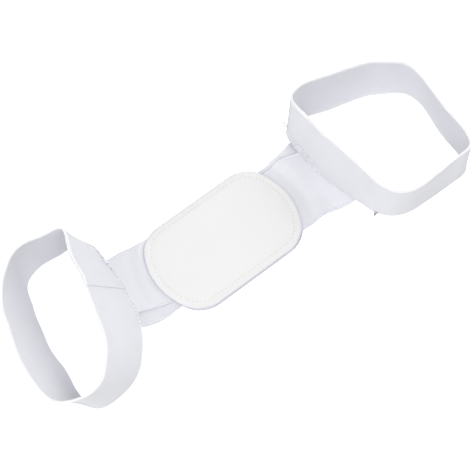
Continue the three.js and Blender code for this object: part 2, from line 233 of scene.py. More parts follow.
def webbing(name, middle, along, press=1.0):
    """Closed strip of woven elastic round a grid of middle points (sections by columns). Each
    face lies half a thickness off the grid, less a cosine rib across the width and a groove
    beside the selvedge, and the long edges are half circles. press is the share of the
    thickness that a seam leaves, one number per section."""
    rows = middle.shape[0]
    ahead = np.gradient(middle, axis=0)
    aside = np.gradient(middle, axis=1)
    out = unit(np.cross(ahead, aside))
    across = ACROSS * WEBBING_WIDTH
    to_edge = WEBBING_WIDTH / 2 - np.abs(across)
    valley = 0.5 - 0.5 * np.cos(2 * np.pi * across / RIB_PITCH)
    relief = RIB_HEIGHT * valley * (to_edge > SELVEDGE)
    relief += GROOVE_DEPTH * np.exp(-((to_edge - SELVEDGE) / GROOVE_WIDTH) ** 2)
    half = HALF_THICK * np.broadcast_to(press, rows)[:, None] - relief[None, :]
    angle = np.linspace(np.pi / 2, -np.pi / 2, EDGE_POINTS + 2)[1:-1]
    column = np.arange(COLUMNS)
    last = np.full(EDGE_POINTS, COLUMNS - 1)
    first = np.zeros(EDGE_POINTS, dtype=int)
    ring_column = np.concatenate([column, last, column[::-1], first])
    bead = half[:, -1:]
    flat = np.zeros((rows, COLUMNS))
    ring_out = np.hstack([half, bead * np.sin(angle), -half[:, ::-1], -bead * np.sin(angle)])
    ring_aside = np.hstack([flat, bead * np.cos(angle), flat, -bead * np.cos(angle)])
    sideways = unit(aside)
    points = (middle[:, ring_column]
              + out[:, ring_column] * ring_out[..., None]
              + sideways[:, ring_column] * ring_aside[..., None])
    count = len(ring_column)
    walls = closed_rings(rows, count)
    top = column[:-1]
    under = 2 * COLUMNS + EDGE_POINTS - 1 - column[:-1]
    cap = np.stack([top, under, under - 1, top + 1], axis=-1)
    end = (rows - 1) * count
    right_bow = np.arange(COLUMNS - 1, COLUMNS + EDGE_POINTS + 1)[None, :]
    left_bow = np.r_[np.arange(2 * COLUMNS + EDGE_POINTS - 1, count), 0][None, :]
    faces = [walls, cap, end + cap[:, ::-1], right_bow[:, ::-1], left_bow[:, ::-1],
             end + right_bow, end + left_bow]
    uv = np.empty((rows, count, 2))
    uv[..., 0] = along[:, None] * UV_SCALE
    uv[..., 1] = (across[ring_column][None, :] + ring_aside) * UV_SCALE
    return make_mesh(name, points.reshape(-1, 3), faces, uv.reshape(-1, 2))


# %% [markdown]
# ## The shape of the arm loops
#
# Each loop is a closed wall of webbing standing on its long edge. A table gives, for about
# twenty places round it, where the foot stands and how far the upper edge leans off it. The
# webbing's width fixes the rest: the upper edge is always one width away from the foot.

# %% Loop tables
RIGHT_LOOP = {"length": 98 * MM, "width": 109 * MM, "shift": -11.5 * MM, "run": 28.5 * MM}
LEFT_LOOP = {"length": 74 * MM, "width": 113 * MM, "shift": 9.5 * MM, "run": 16.5 * MM}
PLATE_LENGTH = 117 * MM
RIGHT_OVERLAP = 26 * MM
LEFT_OVERLAP = 50 * MM
INNER_LAYER_SET = 1.1 * MM

# columns: along, across (shares of half the loop's length and width), lean_x, lean_y (shares
# of the webbing's width), lift (share of the lap of the two cross bands)
RIGHT_ROWS = np.array([
    (-0.885, 0.995, 0.03, 0.01, 0.30),
    (-0.615, 1.02, 0.02, 0.055, 0.10),
    (-0.355, 0.955, 0.02, 0.07, 0.00),
    (-0.105, 0.875, 0.02, 0.08, 0.00),
    (0.42, 0.74, 0.00, 0.045, 0.00),
    (0.67, 0.62, -0.03, 0.025, 0.00),
    (0.90, 0.47, -0.06, 0.00, 0.00),
    (1.01, 0.25, -0.12, -0.02, 0.00),
    (1.00, 0.01, -0.135, -0.01, 0.00),
    (0.91, -0.47, -0.095, 0.01, 0.00),
    (0.90, -0.73, -0.10, 0.01, 0.00),
    (0.81, -0.95, -0.10, 0.01, 0.00),
    (0.51, -0.985, -0.06, 0.00, 0.00),
    (-0.04, -0.965, -0.04, -0.03, 0.00),
    (-0.31, -0.945, -0.04, -0.045, 0.10),
    (-0.54, -0.855, -0.05, -0.035, 0.40),
    (-0.705, -0.68, -0.01, 0.00, 0.90),
    (-0.80, -0.41, 0.05, -0.01, 1.00),
    (-0.93, 0.05, 0.125, 0.01, 1.00),
    (-1.00, 0.52, 0.12, 0.00, 1.00),
    (-1.00, 0.77, 0.09, -0.01, 1.00),
])
LEFT_ROWS = np.array([
    (0.80, 0.94, -0.195, -0.045, 0.50),
    (0.41, 0.955, -0.15, 0.00, 0.20),
    (0.08, 0.98, -0.13, 0.03, 0.00),
    (-0.24, 0.955, -0.13, 0.05, 0.00),
    (-0.47, 0.855, -0.155, 0.05, 0.00),
    (-0.575, 0.66, -0.275, 0.10, 0.00),
    (-0.675, 0.475, -0.34, 0.125, 0.00),
    (-0.745, 0.28, -0.375, 0.135, 0.00),
    (-0.82, 0.085, -0.39, 0.13, 0.00),
    (-0.85, -0.125, -0.46, 0.10, 0.00),
    (-0.865, -0.335, -0.50, 0.06, 0.00),
    (-0.92, -0.53, -0.465, -0.04, 0.00),
    (-0.945, -0.72, -0.38, -0.085, 0.00),
    (-0.865, -0.915, -0.22, -0.03, 0.00),
    (-0.64, -1.00, -0.16, 0.01, 0.00),
    (-0.31, -1.00, -0.19, 0.075, 0.00),
    (0.04, -0.955, -0.275, 0.18, 0.30),
    (0.34, -0.83, -0.35, 0.225, 0.60),
    (0.575, -0.67, -0.44, 0.24, 1.00),
    (0.77, -0.45, -0.525, 0.21, 1.00),
    (0.905, -0.205, -0.56, 0.15, 1.00),
    (0.97, 0.03, -0.54, 0.11, 1.00),
    (1.00, 0.27, -0.51, 0.06, 1.00),
    (1.00, 0.50, -0.48, 0.02, 1.00),
    (0.99, 0.755, -0.40, -0.075, 1.00),
])


# %% Sections of a loop's wall
FINE = 4000
FOOT_SINK = 0.55 * MM


def loop_sections(rows, loop, side, way):
    """Foot points, unit vectors up the wall and out of it, and the length along the foot line,
    at many even places round a loop. side is +1 for the loop at +X; way is +1 where the rows
    run clockwise seen from above."""
    middle_x = side * (PLATE_LENGTH / 2 + loop["run"] + loop["length"] / 2)
    foot = np.stack([middle_x + rows[:, 0] * loop["length"] / 2,
                     loop["shift"] + rows[:, 1] * loop["width"] / 2,
                     rows[:, 4] * (BAND_LAP - FOOT_SINK)], axis=1)
    lean = rows[:, 2:4] * WEBBING_WIDTH
    values = np.hstack([foot, lean])
    values = np.vstack([values, values[:1]])
    chord = np.sqrt(np.linalg.norm(np.diff(values[:, :3], axis=0), axis=1))
    places = np.concatenate([[0], np.cumsum(chord)])
    rough = closed_spline(places, values, np.linspace(0, places[-1], FINE))
    walked = walked_length(rough[:, :3])
    even = np.interp(np.linspace(0, walked[-1], FINE), walked, np.linspace(0, places[-1], FINE))
    line = closed_spline(places, values, even)
    foot = line[:, :3]
    foot[:, 2] = np.maximum(foot[:, 2], 0)
    lean = line[:, 3:]
    height = np.sqrt(WEBBING_WIDTH ** 2 - (lean ** 2).sum(axis=1))
    up_wall = np.column_stack([lean, height]) / WEBBING_WIDTH
    head = foot + up_wall * WEBBING_WIDTH
    ahead = unit(np.gradient(foot, axis=0)[1:-1]) + unit(np.gradient(head, axis=0)[1:-1])
    ahead = np.vstack([ahead[:1], ahead, ahead[-1:]])
    out = way * unit(np.cross(up_wall, ahead))
    return {"foot": foot, "up": up_wall, "out": out, "length": walked[-1]}


right_wall = loop_sections(RIGHT_ROWS, RIGHT_LOOP, 1, 1)
left_wall = loop_sections(LEFT_ROWS, LEFT_LOOP, -1, -1)
print("round the right loop:", round(right_wall["length"] * 1000), "mm, the left:",
      round(left_wall["length"] * 1000), "mm")


def wall_at(wall, share):
    """Foot, up and out of a wall at shares of the way round, read off the fine sections."""
    at = np.mod(share, 1) * (FINE - 1)
    low = np.floor(at).astype(int)
    high = np.minimum(low + 1, FINE - 1)
    part = (at - low)[:, None]
    foot, up_wall, out = (wall[key][low] * (1 - part) + wall[key][high] * part
                          for key in ("foot", "up", "out"))
    return foot, unit(up_wall), unit(out)


# %% [markdown]
# ## Two arm loops
#
# Each loop is one strip of webbing that goes a little more than once round and is sewn to
# itself where it overlaps. So the strip starts as the inner layer of the lap, moves out by one
# layer on its way round, and ends outside its own start. A slow ripple of a few tenths of a
# millimetre keeps the wall from looking like bent card.

# %% Build the loops
LOOP_SECTIONS = 250
RIPPLE = 0.16 * MM
RIPPLE_WAVES = (7, 13)
RIPPLE_TILTS = (5, -7)
SECOND_RIPPLE = 0.6
SECOND_START = 1
LAP_PRESS = 0.42
END_PRESS = 0.50
END_REACH = 7 * MM
CONTACT = 0.03 * MM


def sewn_press(run, lap, length):
    """Share of the thickness left by the seams: a little less over both laps, and least at the
    two cut ends."""
    in_lap = ease(1.5 - run / lap) + ease((run - 1) / lap + 0.5)
    to_end = np.minimum(run, 1 + lap - run) * length
    return 1 - LAP_PRESS * np.minimum(in_lap, 1) - END_PRESS * ease(1 - to_end / END_REACH)


def layer_offset(run, lap, length, tilt):
    """Offset of the strip from the foot line: the inner layer's set, then out by one layer on
    the way round, and pressed down onto the start of the strip in the lap. tilt is the height
    share of the wall's outward direction: a leaning wall needs more room on the level."""
    press = sewn_press(run, lap, length)
    beneath = sewn_press(np.maximum(run - 1, 0), lap, length)
    closed = HALF_THICK * (press + beneath) + CONTACT
    step = LAYER_STEP + (closed - LAYER_STEP) * ease((run - 1) / (0.5 * lap) + 1)
    level = 1 - tilt ** 2
    return step / level * ease((run - 2 * lap) / (1 - 3 * lap)) - INNER_LAYER_SET


def arm_loop(name, wall, overlap, outer_end, turn):
    """One strip of webbing round a wall: run goes from the hidden start, one lap behind the
    outer end, once round and over its own start."""
    lap = overlap / wall["length"]
    run = np.linspace(0, 1 + lap, LOOP_SECTIONS)
    foot, up_wall, out = wall_at(wall, outer_end + turn * (run - lap))
    base = foot + out * layer_offset(run, lap, wall["length"], out[:, 2])[:, None]
    base[:, 2] = foot[:, 2] + HALF_THICK * (1 - up_wall[:, 2])
    reach = HALF_THICK + (ACROSS + 0.5) * (WEBBING_WIDTH - WEBBING_THICK)
    middle = base[:, None, :] + up_wall[:, None, :] * reach[None, :, None]
    turns = 2 * np.pi * run[:, None]
    free = ease(run / lap - 1) * ease((1 - run) / lap)
    first, second = (waves * turns + tilt * ACROSS[None, :]
                     for waves, tilt in zip(RIPPLE_WAVES, RIPPLE_TILTS))
    ripple = np.sin(first) + SECOND_RIPPLE * np.sin(second + SECOND_START)
    middle = middle + out[:, None, :] * (RIPPLE * free[:, None] * ripple)[..., None]
    return webbing(name, middle, run * wall["length"], sewn_press(run, lap, wall["length"]))


RIGHT_OUTER_END = 0.0
LEFT_OUTER_END = 0.83
right_arm_loop = arm_loop("right_loop_webbing", right_wall, RIGHT_OVERLAP, RIGHT_OUTER_END, 1)
left_arm_loop = arm_loop("left_loop_webbing", left_wall, LEFT_OVERLAP, LEFT_OUTER_END, -1)

# %% [markdown]
# ## Two cross bands
#
# Two lengths of the same webbing cross between the plates. They lie flat there, drape over the
# back plate's edge down to the table, pass under the foot of each loop and turn up inside it,
# where they are sewn on. Height is a function of the distance outside the plate's outline, so
# the drape follows the plate's bowed end. On the longer right side the cloth stands up in one
# soft ridge.

# %% Outline of the plates
PLATE_WIDTH = 72.5 * MM
END_RADIUS = 50 * MM
CORNER_RADIUS = 24 * MM
PLATE_THICK = 2.4 * MM
BOW_MIDDLE = PLATE_LENGTH / 2 - END_RADIUS
CORNER_ACROSS = PLATE_WIDTH / 2 - CORNER_RADIUS
CORNER_ALONG = BOW_MIDDLE + np.sqrt((END_RADIUS - CORNER_RADIUS) ** 2 - CORNER_ACROSS ** 2)
BOW_ANGLE = np.arctan2(CORNER_ACROSS, CORNER_ALONG - BOW_MIDDLE)


def outside_plates(x, y):
    """Distance outside the outline: from the straight side, the corner's arc or the bowed end,
    whichever faces the place."""
    along, across = np.abs(x), np.abs(y)
    side = across - PLATE_WIDTH / 2
    bow = np.hypot(along - BOW_MIDDLE, across) - END_RADIUS
    corner = np.hypot(along - CORNER_ALONG, across - CORNER_ACROSS) - CORNER_RADIUS
    at_bow = np.arctan2(across, along - BOW_MIDDLE) < BOW_ANGLE
    return np.where(along < CORNER_ALONG, side, np.where(at_bow, bow, corner))


# %% Height of the cloth
DRAPE_START = 1 * MM
DRAPE_RUN = 11 * MM
RIDGE_HEIGHT = 1.7 * MM
RIDGE_PLACE = 0.55
RIDGE_SPREAD = 0.22


def band_height(x, y):
    """Height of the lower band: the plate's thickness under the plates, eased down to the
    table outside them, plus a bell-shaped ridge across the right side."""
    outside = outside_plates(x, y)
    on_plate = PLATE_THICK + LAYER_GAP + HALF_THICK
    drape = on_plate + (HALF_THICK - on_plate) * ease((outside - DRAPE_START) / DRAPE_RUN)
    from_ridge = (outside / RIGHT_LOOP["run"] - RIDGE_PLACE) / RIDGE_SPREAD
    ridge = RIDGE_HEIGHT * np.exp(-from_ridge ** 2) * ease(outside / DRAPE_RUN)
    return drape + np.where(x > 0, ridge, 0)


# %% Tables of the two bands
# columns: reach (share of the way to the near wall of a loop, negative to the left), aside
# (share of the webbing's width), wide (share of the webbing's width)
UPPER_ROWS = np.array([
    (-1.15, 0.40, 0.88),
    (-0.97, 0.32, 0.91),
    (-0.86, 0.27, 0.98),
    (-0.72, 0.205, 1.01),
    (0.00, 0.08, 1.00),
    (0.69, -0.06, 1.04),
    (0.82, -0.05, 1.07),
    (0.95, -0.11, 1.09),
    (1.10, -0.16, 1.07),
])
LOWER_ROWS = np.array([
    (-1.15, 0.27, 0.95),
    (-0.95, 0.17, 1.00),
    (-0.70, 0.10, 1.00),
    (0.00, 0.05, 1.00),
    (0.64, 0.03, 1.00),
    (0.86, 0.09, 1.00),
    (1.10, 0.19, 1.00),
])
RIGHT_WALL_X = PLATE_LENGTH / 2 + RIGHT_LOOP["run"]
LEFT_WALL_X = -(PLATE_LENGTH / 2 + LEFT_LOOP["run"])
TURNED_END = 10 * MM
FOLD_RADIUS = 1.5 * MM
FOLD_STEPS = 9
END_STEPS = 8


def near_wall(wall, y):
    """Sections of the near wall at given y: the fine sections from the lowest place of the
    foot line on to the table's first row, read off by their y."""
    lowest = int(np.argmin(wall["foot"][:, 1]))
    span = slice(lowest, FINE)
    wall_y = wall["foot"][span, 1]
    foot, up_wall, out = (
        np.stack([np.interp(y, wall_y, wall[key][span, k]) for k in range(3)], axis=-1)
        for key in ("foot", "up", "out"))
    return foot, unit(up_wall), unit(out)


def turned_end(wall, y, layer):
    """Points of the fold and the turned-up end, columns by steps: an arc of the fold's radius
    from the flat run to the direction of the wall, then straight up along the wall."""
    foot, up_wall, out = near_wall(wall, y)
    radius = FOLD_RADIUS + (1 - layer) * LAYER_STEP
    inward = unit(np.column_stack([-out[:, :2], np.zeros(len(y))]))
    lean = np.arctan2((up_wall * inward).sum(axis=1), up_wall[:, 2])
    centre_up = HALF_THICK + layer * LAYER_STEP + radius
    apart = INNER_LAYER_SET + WEBBING_THICK + SEAM_GAP - FOLD_RADIUS
    centre_in = (apart + (centre_up - foot[:, 2]) * np.sin(lean)) / np.cos(lean)
    angle = (np.pi / 2 - lean)[:, None] * np.linspace(0, 1, FOLD_STEPS)[None, :]
    inwards = centre_in[:, None] + radius * np.sin(angle)
    height = centre_up - radius * np.cos(angle)
    rise = np.linspace(0, TURNED_END, END_STEPS + 1)[1:]
    inwards = np.hstack([inwards, inwards[:, -1:] + np.sin(lean)[:, None] * rise])
    height = np.hstack([height, height[:, -1:] + np.cos(lean)[:, None] * rise])
    place = foot[:, None, :] + inward[:, None, :] * inwards[..., None]
    place[..., 2] = height
    return place


# %% Build the cross bands
BAND_SECTIONS = 130
CLOTH_RIPPLE = 0.12 * MM
# the two waves of the ripple: lengths in x and y over which each turns by one radian
LONG_WAVE_X, LONG_WAVE_Y = 6.5 * MM, 14 * MM
CROSS_WAVE_X, CROSS_WAVE_Y = -11 * MM, 5 * MM
CROSS_SHARE = 0.7
CROSS_START = 2
RIPPLE_LIFT = 1.7
RIPPLE_EASE = 6 * MM
END_BLEND = 4
RIPPLE_END = 12


def cross_band(name, rows, layer):
    """Webbing from one turned-up end over the plates to the other: for each column the y comes
    from the table and the height from the drape, blended into both ends. Two slow sine waves
    that cross each other ripple it by a tenth of a millimetre where nothing holds it."""
    reach = np.where(rows[:, 0] < 0, -LEFT_WALL_X, RIGHT_WALL_X) * rows[:, 0]
    table = rows[:, 1:] * WEBBING_WIDTH

    def aside(x, share):
        line = open_spline(reach, table, np.ravel(x)).reshape(*np.shape(x), 2)
        return line[..., 0] + share * line[..., 1]

    left_y = aside(np.full(COLUMNS, LEFT_WALL_X), ACROSS)
    right_y = aside(np.full(COLUMNS, RIGHT_WALL_X), ACROSS)
    # the left loop's rows run the other way round, so its near wall rises in y along them too
    left_end = turned_end(left_wall, left_y, layer)[:, ::-1]
    right_end = turned_end(right_wall, right_y, layer)
    start, stop = left_end[:, -1], right_end[:, 0]
    share = np.linspace(0, 1, BAND_SECTIONS + 2)[1:-1]
    x = start[:, None, 0] + (stop[:, 0] - start[:, 0])[:, None] * share[None, :]
    y = aside(x, ACROSS[:, None])
    start_off = (start[:, 1] - aside(start[:, 0], ACROSS))[:, None]
    stop_off = (stop[:, 1] - aside(stop[:, 0], ACROSS))[:, None]
    y = y + start_off * (1 - ease(share * END_BLEND))
    y = y + stop_off * ease(share * END_BLEND - (END_BLEND - 1))
    outside = outside_plates(x, y)
    ripple = (np.sin(x / LONG_WAVE_X + y / LONG_WAVE_Y)
              + CROSS_SHARE * np.sin(x / CROSS_WAVE_X + y / CROSS_WAVE_Y + CROSS_START))
    free = ease(outside / RIPPLE_EASE) * ease(share * RIPPLE_END) * ease((1 - share) * RIPPLE_END)
    z = band_height(x, y) + layer * LAYER_STEP + CLOTH_RIPPLE * (ripple + RIPPLE_LIFT) * free
    flat = np.stack([x, y, z], axis=-1)
    grid = np.concatenate([left_end, flat, right_end], axis=1).transpose(1, 0, 2)
    half = COLUMNS // 2
    along = walked_length(grid[:, half])
    print(name, "runs", round(along[-1] * 1000), "mm")
    return webbing(name, grid, along), along[-1]


lower_band, lower_run = cross_band("lower_band_webbing", LOWER_ROWS, 0)
upper_band, upper_run = cross_band("upper_band_webbing", UPPER_ROWS, 1)

# %% [markdown]
# ## Padded plates
#
# Each plate is two skins of leatherette over thin foam, sewn together a few millimetres inside
# the edge. The seam pulls the skins down into a furrow, the needle leaves a small hole at each
# stitch, and the foam crowns the middle a little. The surface is a set of rings: each ring is
# the outline moved inwards, and a profile gives its height. The holes are dimples whose depth
# falls off with the distance from the nearest stitch end.

# %% Plate surface
BACK_PLATE_SHIFT = 1.8 * MM
STITCH_INSET = 5 * MM
STITCH_PITCH = 2.9 * MM
HOLE_RADIUS = 0.55 * MM
HOLE_DEPTH = 0.14 * MM
FURROW_DEPTH = 0.10 * MM
BAND_REACH = 29.5 * MM
FURROW_WIDTH = 0.9 * MM
UNDER_SHARE = 0.6
FRONT_CROWN = 0.5 * MM
CROWN_RISE = 11 * MM
LIP_ROLL = 0.1 * MM
LIP_PLACE = 2.6 * MM
LIP_WIDTH = 2.2 * MM
PUCKER_DEPTH = 0.05 * MM
PUCKER_WIDTH = 1.6 * MM
SIDE_REACH = 0.9 * MM
AROUND = 1120
FILL_RINGS = 7


def plate_outline(inset, share):
    """Point on the outline moved inwards, at shares of its own length: a quarter of bowed end,
    corner and straight side, mirrored into the other three quarters."""
    bow = BOW_ANGLE * (END_RADIUS - inset)
    corner = (np.pi / 2 - BOW_ANGLE) * (CORNER_RADIUS - inset)
    quarter = bow + corner + CORNER_ALONG
    walked = np.mod(share, 1) * 4 * quarter
    turn = np.floor(walked / quarter).astype(int) % 4
    part = walked - np.floor(walked / quarter) * quarter
    part = np.where(turn % 2 == 1, quarter - part, part)
    angle = np.where(part < bow, part / (END_RADIUS - inset),
                     BOW_ANGLE + (part - bow) / (CORNER_RADIUS - inset))
    angle = np.minimum(angle, np.pi / 2)
    x = np.where(part < bow, BOW_MIDDLE + (END_RADIUS - inset) * np.cos(angle),
                 CORNER_ALONG + (CORNER_RADIUS - inset) * np.cos(angle))
    y = np.where(part < bow, (END_RADIUS - inset) * np.sin(angle),
                 CORNER_ACROSS + (CORNER_RADIUS - inset) * np.sin(angle))
    x = np.where(part > bow + corner, CORNER_ALONG - (part - bow - corner), x)
    x = np.where((turn == 1) | (turn == 2), -x, x)
    y = np.where(turn >= 2, -y, y)
    return x, y, 4 * quarter


STITCHES = int(round(plate_outline(STITCH_INSET, np.zeros(1))[2] / STITCH_PITCH))
print("stitches round a plate:", STITCHES)

# profile: inset from the outline and height, from the middle of one face round the edge
EDGE_ROWS = np.array([
    (0.0, 1.20), (0.05, 0.75), (0.28, 0.33), (0.75, 0.06), (1.6, 0.0),
])
# insets of the further rings: between lip and seam, close together over the seam, then inwards
FACE_INSETS = np.concatenate([[2.6, 3.3], STITCH_INSET / MM + np.linspace(-1.2, 1.2, 13),
                              np.linspace(7, 20, 12)])


def rim_bend(y, depth):
    """How far a plate's rim is drawn to the other plate where no band lies between them."""
    return depth * ease((np.abs(y) - BAND_REACH) / (PLATE_WIDTH / 2 - BAND_REACH))


def padded_plate(name, base, crown, hole_side, bend):
    """Closed padded plate. Rings follow the outline inwards; the edge is a rounded lip, the
    seam a furrow at the stitch inset with a dimple at each needle hole, and the middle rises
    by the crown. hole_side is +1 for holes on the upper face, -1 for the under face; bend is
    how far the long rims go up or down."""
    share = np.arange(AROUND) / AROUND
    inset = np.concatenate([EDGE_ROWS[:, 0], FACE_INSETS]) * MM
    depth = np.concatenate([EDGE_ROWS[:, 1], np.zeros(len(FACE_INSETS))]) * MM
    pillow = crown * ease((inset - STITCH_INSET) / CROWN_RISE)
    pillow += LIP_ROLL * ease(1 - np.abs(inset - LIP_PLACE) / LIP_WIDTH)
    seam = -FURROW_DEPTH * np.exp(-((inset - STITCH_INSET) / FURROW_WIDTH) ** 2)
    x, y, length = plate_outline(inset[:, None], share[None, :])
    to_hole = (np.mod(share * STITCHES + 0.5, 1) - 0.5) * length[:, :1] / STITCHES
    off_line = (inset - STITCH_INSET)[:, None]
    hole = np.exp(-(to_hole ** 2 + off_line ** 2) / HOLE_RADIUS ** 2)
    wave = np.cos(2 * np.pi * share * STITCHES)[None, :]
    pucker = PUCKER_DEPTH * wave * np.exp(-(off_line / PUCKER_WIDTH) ** 2)
    none = np.zeros_like(hole)
    if hole_side > 0:
        upper = (PLATE_THICK - depth + pillow + seam)[:, None] - HOLE_DEPTH * hole - pucker
        lower = depth[:, None] + none
        mark_up, mark_low = hole, none
    else:
        upper = (PLATE_THICK - depth)[:, None] + none
        lower = (depth - seam * UNDER_SHARE)[:, None] + UNDER_SHARE * HOLE_DEPTH * hole
        mark_up, mark_low = none, hole
    # both faces, joined at the outline; inner rings shrink to the middle of the plate
    shrink = np.linspace(1, 0, FILL_RINGS + 2)[1:-1, None]
    fill = np.ones((FILL_RINGS, AROUND))
    rings_x = np.vstack([x, shrink * x[-1]])
    rings_y = np.vstack([y, shrink * y[-1]])
    upper = np.vstack([upper, fill * upper[-1].mean()])
    lower = np.vstack([lower, fill * lower[-1].mean()])
    mark_up = np.vstack([mark_up, fill * 0])
    mark_low = np.vstack([mark_low, fill * 0])
    grid_x = np.vstack([rings_x[::-1], rings_x[1:]])
    grid_y = np.vstack([rings_y[::-1], rings_y[1:]])
    grid_z = np.vstack([upper[::-1], lower[1:]])
    marks = np.vstack([mark_up[::-1], mark_low[1:]])
    side = np.clip(1 - np.concatenate([inset, np.full(FILL_RINGS, inset[-1])]) / SIDE_REACH, 0, 1)
    side = np.repeat(np.concatenate([side[::-1], side[1:]]), AROUND)
    rows = len(grid_x)
    grid_z = base + grid_z + rim_bend(grid_y, bend)
    points = np.stack([grid_x, grid_y, grid_z], axis=-1).reshape(-1, 3)
    walls = closed_rings(rows, AROUND)
    hubs = np.array([[0, 0, base + upper[-1].mean()], [0, 0, base + lower[-1].mean()]])
    top_hub, low_hub = len(points), len(points) + 1
    around = np.arange(AROUND)
    beside = np.roll(around, -1)
    final = (rows - 1) * AROUND
    caps = [np.stack([np.full(AROUND, top_hub), beside, around], axis=-1),
            np.stack([np.full(AROUND, low_hub), final + around, final + beside], axis=-1)]
    points = np.vstack([points, hubs])
    mark = np.concatenate([marks.ravel(), [0, 0]])
    side = np.concatenate([side, [0, 0]])
    return make_mesh(name, points, [walls, *caps], marks={"needle_hole": mark, "side": side})


FRONT_BASE = PLATE_THICK + BAND_LAP + LAYER_GAP
FRONT_BEND = -1.5 * MM
BACK_BEND = 1.2 * MM
front_plate = padded_plate("front_plate_leatherette", FRONT_BASE, FRONT_CROWN, 1, FRONT_BEND)
back_plate = padded_plate("back_plate_leatherette", 0, 0, -1, BACK_BEND)
back_plate.data.transform(Matrix.Translation((BACK_PLATE_SHIFT, 0, 0)))

# %% [markdown]
# ## Thread
#
# A stitch on cloth is a short hump of thread that comes up through one hole and goes down
# through the next. One hump is a tube bent over an arc; all the stitches of a seam are copies
# of it, placed by three directions: along the seam, out of the cloth and across. The copies
# are computed together as one array.

# %% Stitches
THREAD_SIDES = 6
THREAD_RINGS = 7
THREAD_RADIUS = 0.13 * MM
THREAD_SINK = 0.3 * MM
HUMP_RISE = 0.9
HUMP_ROUND = 0.6
THREAD_END = 0.55


def stitches(name, start, stop, out, radius, sink):
    """A hump of thread from each start to each stop: the centre line is half a sine wave over
    the chord, made rounder by a power and sunk at both ends, and the tube's section is a
    circle that narrows to both ends."""
    along = stop - start
    length = np.linalg.norm(along, axis=1)
    ahead = along / length[:, None]
    across = unit(np.cross(out, ahead))
    lift = np.cross(ahead, across)
    share = np.linspace(0, 1, THREAD_RINGS)
    height = (radius * HUMP_RISE + sink) * np.sin(np.pi * share) ** HUMP_ROUND - sink
    thick = radius * (THREAD_END + (1 - THREAD_END) * np.sin(np.pi * share))
    angle = 2 * np.pi * np.arange(THREAD_SIDES) / THREAD_SIDES
    centre = start[:, None] + along[:, None] * share[None, :, None]
    centre += lift[:, None] * height[None, :, None]
    ring = (across[:, None, None] * (np.cos(angle)[None, None, :] * thick[None, :, None])[..., None]
            + lift[:, None, None] * (np.sin(angle)[None, None, :] * thick[None, :, None])[..., None])
    points = centre[:, :, None] + ring
    return tube_mesh(name, points)


def tube_mesh(name, points):
    """Closed tubes from an array of tubes by rings by sides, with a flat cap at each end."""
    tubes, rings, sides = points.shape[:3]
    base = np.arange(tubes)[:, None] * rings * sides
    walls = (base[..., None] + closed_rings(rings, sides)[None]).reshape(-1, 4)
    first = base + np.arange(sides)[None, ::-1]
    last = base + (rings - 1) * sides + np.arange(sides)[None, :]
    return make_mesh(name, points.reshape(-1, 3), [walls, first, last])


# %% Stitches round the front plate
STITCH_GAP = 0.16
hole_x, hole_y, _ = plate_outline(STITCH_INSET, np.arange(STITCHES) / STITCHES)
hole_z = FRONT_BASE + PLATE_THICK - FURROW_DEPTH + rim_bend(hole_y, FRONT_BEND)
holes = np.column_stack([hole_x, hole_y, hole_z])
to_next = np.roll(holes, -1, axis=0) - holes
plate_thread = stitches(
    "plate_thread", holes + to_next * STITCH_GAP, holes + to_next * (1 - STITCH_GAP),
    np.tile([0.0, 0.0, 1.0], (STITCHES, 1)), THREAD_RADIUS, THREAD_SINK)


# %% [markdown]
# ## Seams on the loops
#
# The cross bands are sewn to each loop along its foot. The thread shows on the outer face as
# a row just above the foot, with a short zigzag row over part of it. The right seam also ends
# in a small knot, and a few cut ends of thread stand off that loop. The seams are laid out in
# the wall's own two directions, along the foot and up the wall.

# %% Seam rows
def on_wall(wall, share, height, layer_out):
    """Places on the outer face of a wall: the foot at shares of the way round, moved up the
    wall and out by half a thickness and the layer's own offset."""
    foot, up_wall, out = wall_at(wall, share)
    base = foot + out * layer_out
    base[:, 2] = foot[:, 2] + HALF_THICK * (1 - up_wall[:, 2])
    return base + up_wall * height[:, None] + out * HALF_THICK, out


def outer_offset(wall, overlap, outer_end, turn, share):
    """How far the strip's outermost layer stands off the foot line at shares of the way, less
    what its seam presses away."""
    lap = overlap / wall["length"]
    run = np.mod(turn * (share - outer_end), 1) + lap
    pressed = HALF_THICK * (1 - sewn_press(run, lap, wall["length"]))
    tilt = wall_at(wall, share)[2][:, 2]
    return layer_offset(run, lap, wall["length"], tilt) - pressed


def share_at_y(wall, y):
    """Share of the way round of the near wall's places at given y."""
    lowest = int(np.argmin(wall["foot"][:, 1]))
    return np.interp(y, wall["foot"][lowest:, 1], np.arange(lowest, FINE) / (FINE - 1))


def foot_seam(name, strip, y_range, height, pitch, gap, radius, sink, swing=0.0):
    """A row of stitches along the near wall, height above the foot; swing makes it zigzag.
    Heights and lengths are in millimetres, gap is the share left bare at a stitch's end."""
    wall = strip[0]
    low, high = share_at_y(wall, np.array(y_range) * MM)
    count = int(abs(high - low) * wall["length"] / (pitch * MM))
    share = np.linspace(low, high, count + 1)
    level = (height + swing * np.where(np.arange(count + 1) % 2 == 0, 1, -1)) * MM
    place, out = on_wall(wall, share, level, outer_offset(*strip, share)[:, None])
    start = place[:-1] * (1 - gap) + place[1:] * gap
    stop = place[:-1] * gap + place[1:] * (1 - gap)
    return stitches(name, start, stop, out[:-1], radius * MM, sink * MM)


RIGHT_STRIP = (right_wall, RIGHT_OVERLAP, RIGHT_OUTER_END, 1)
LEFT_STRIP = (left_wall, LEFT_OVERLAP, LEFT_OUTER_END, -1)
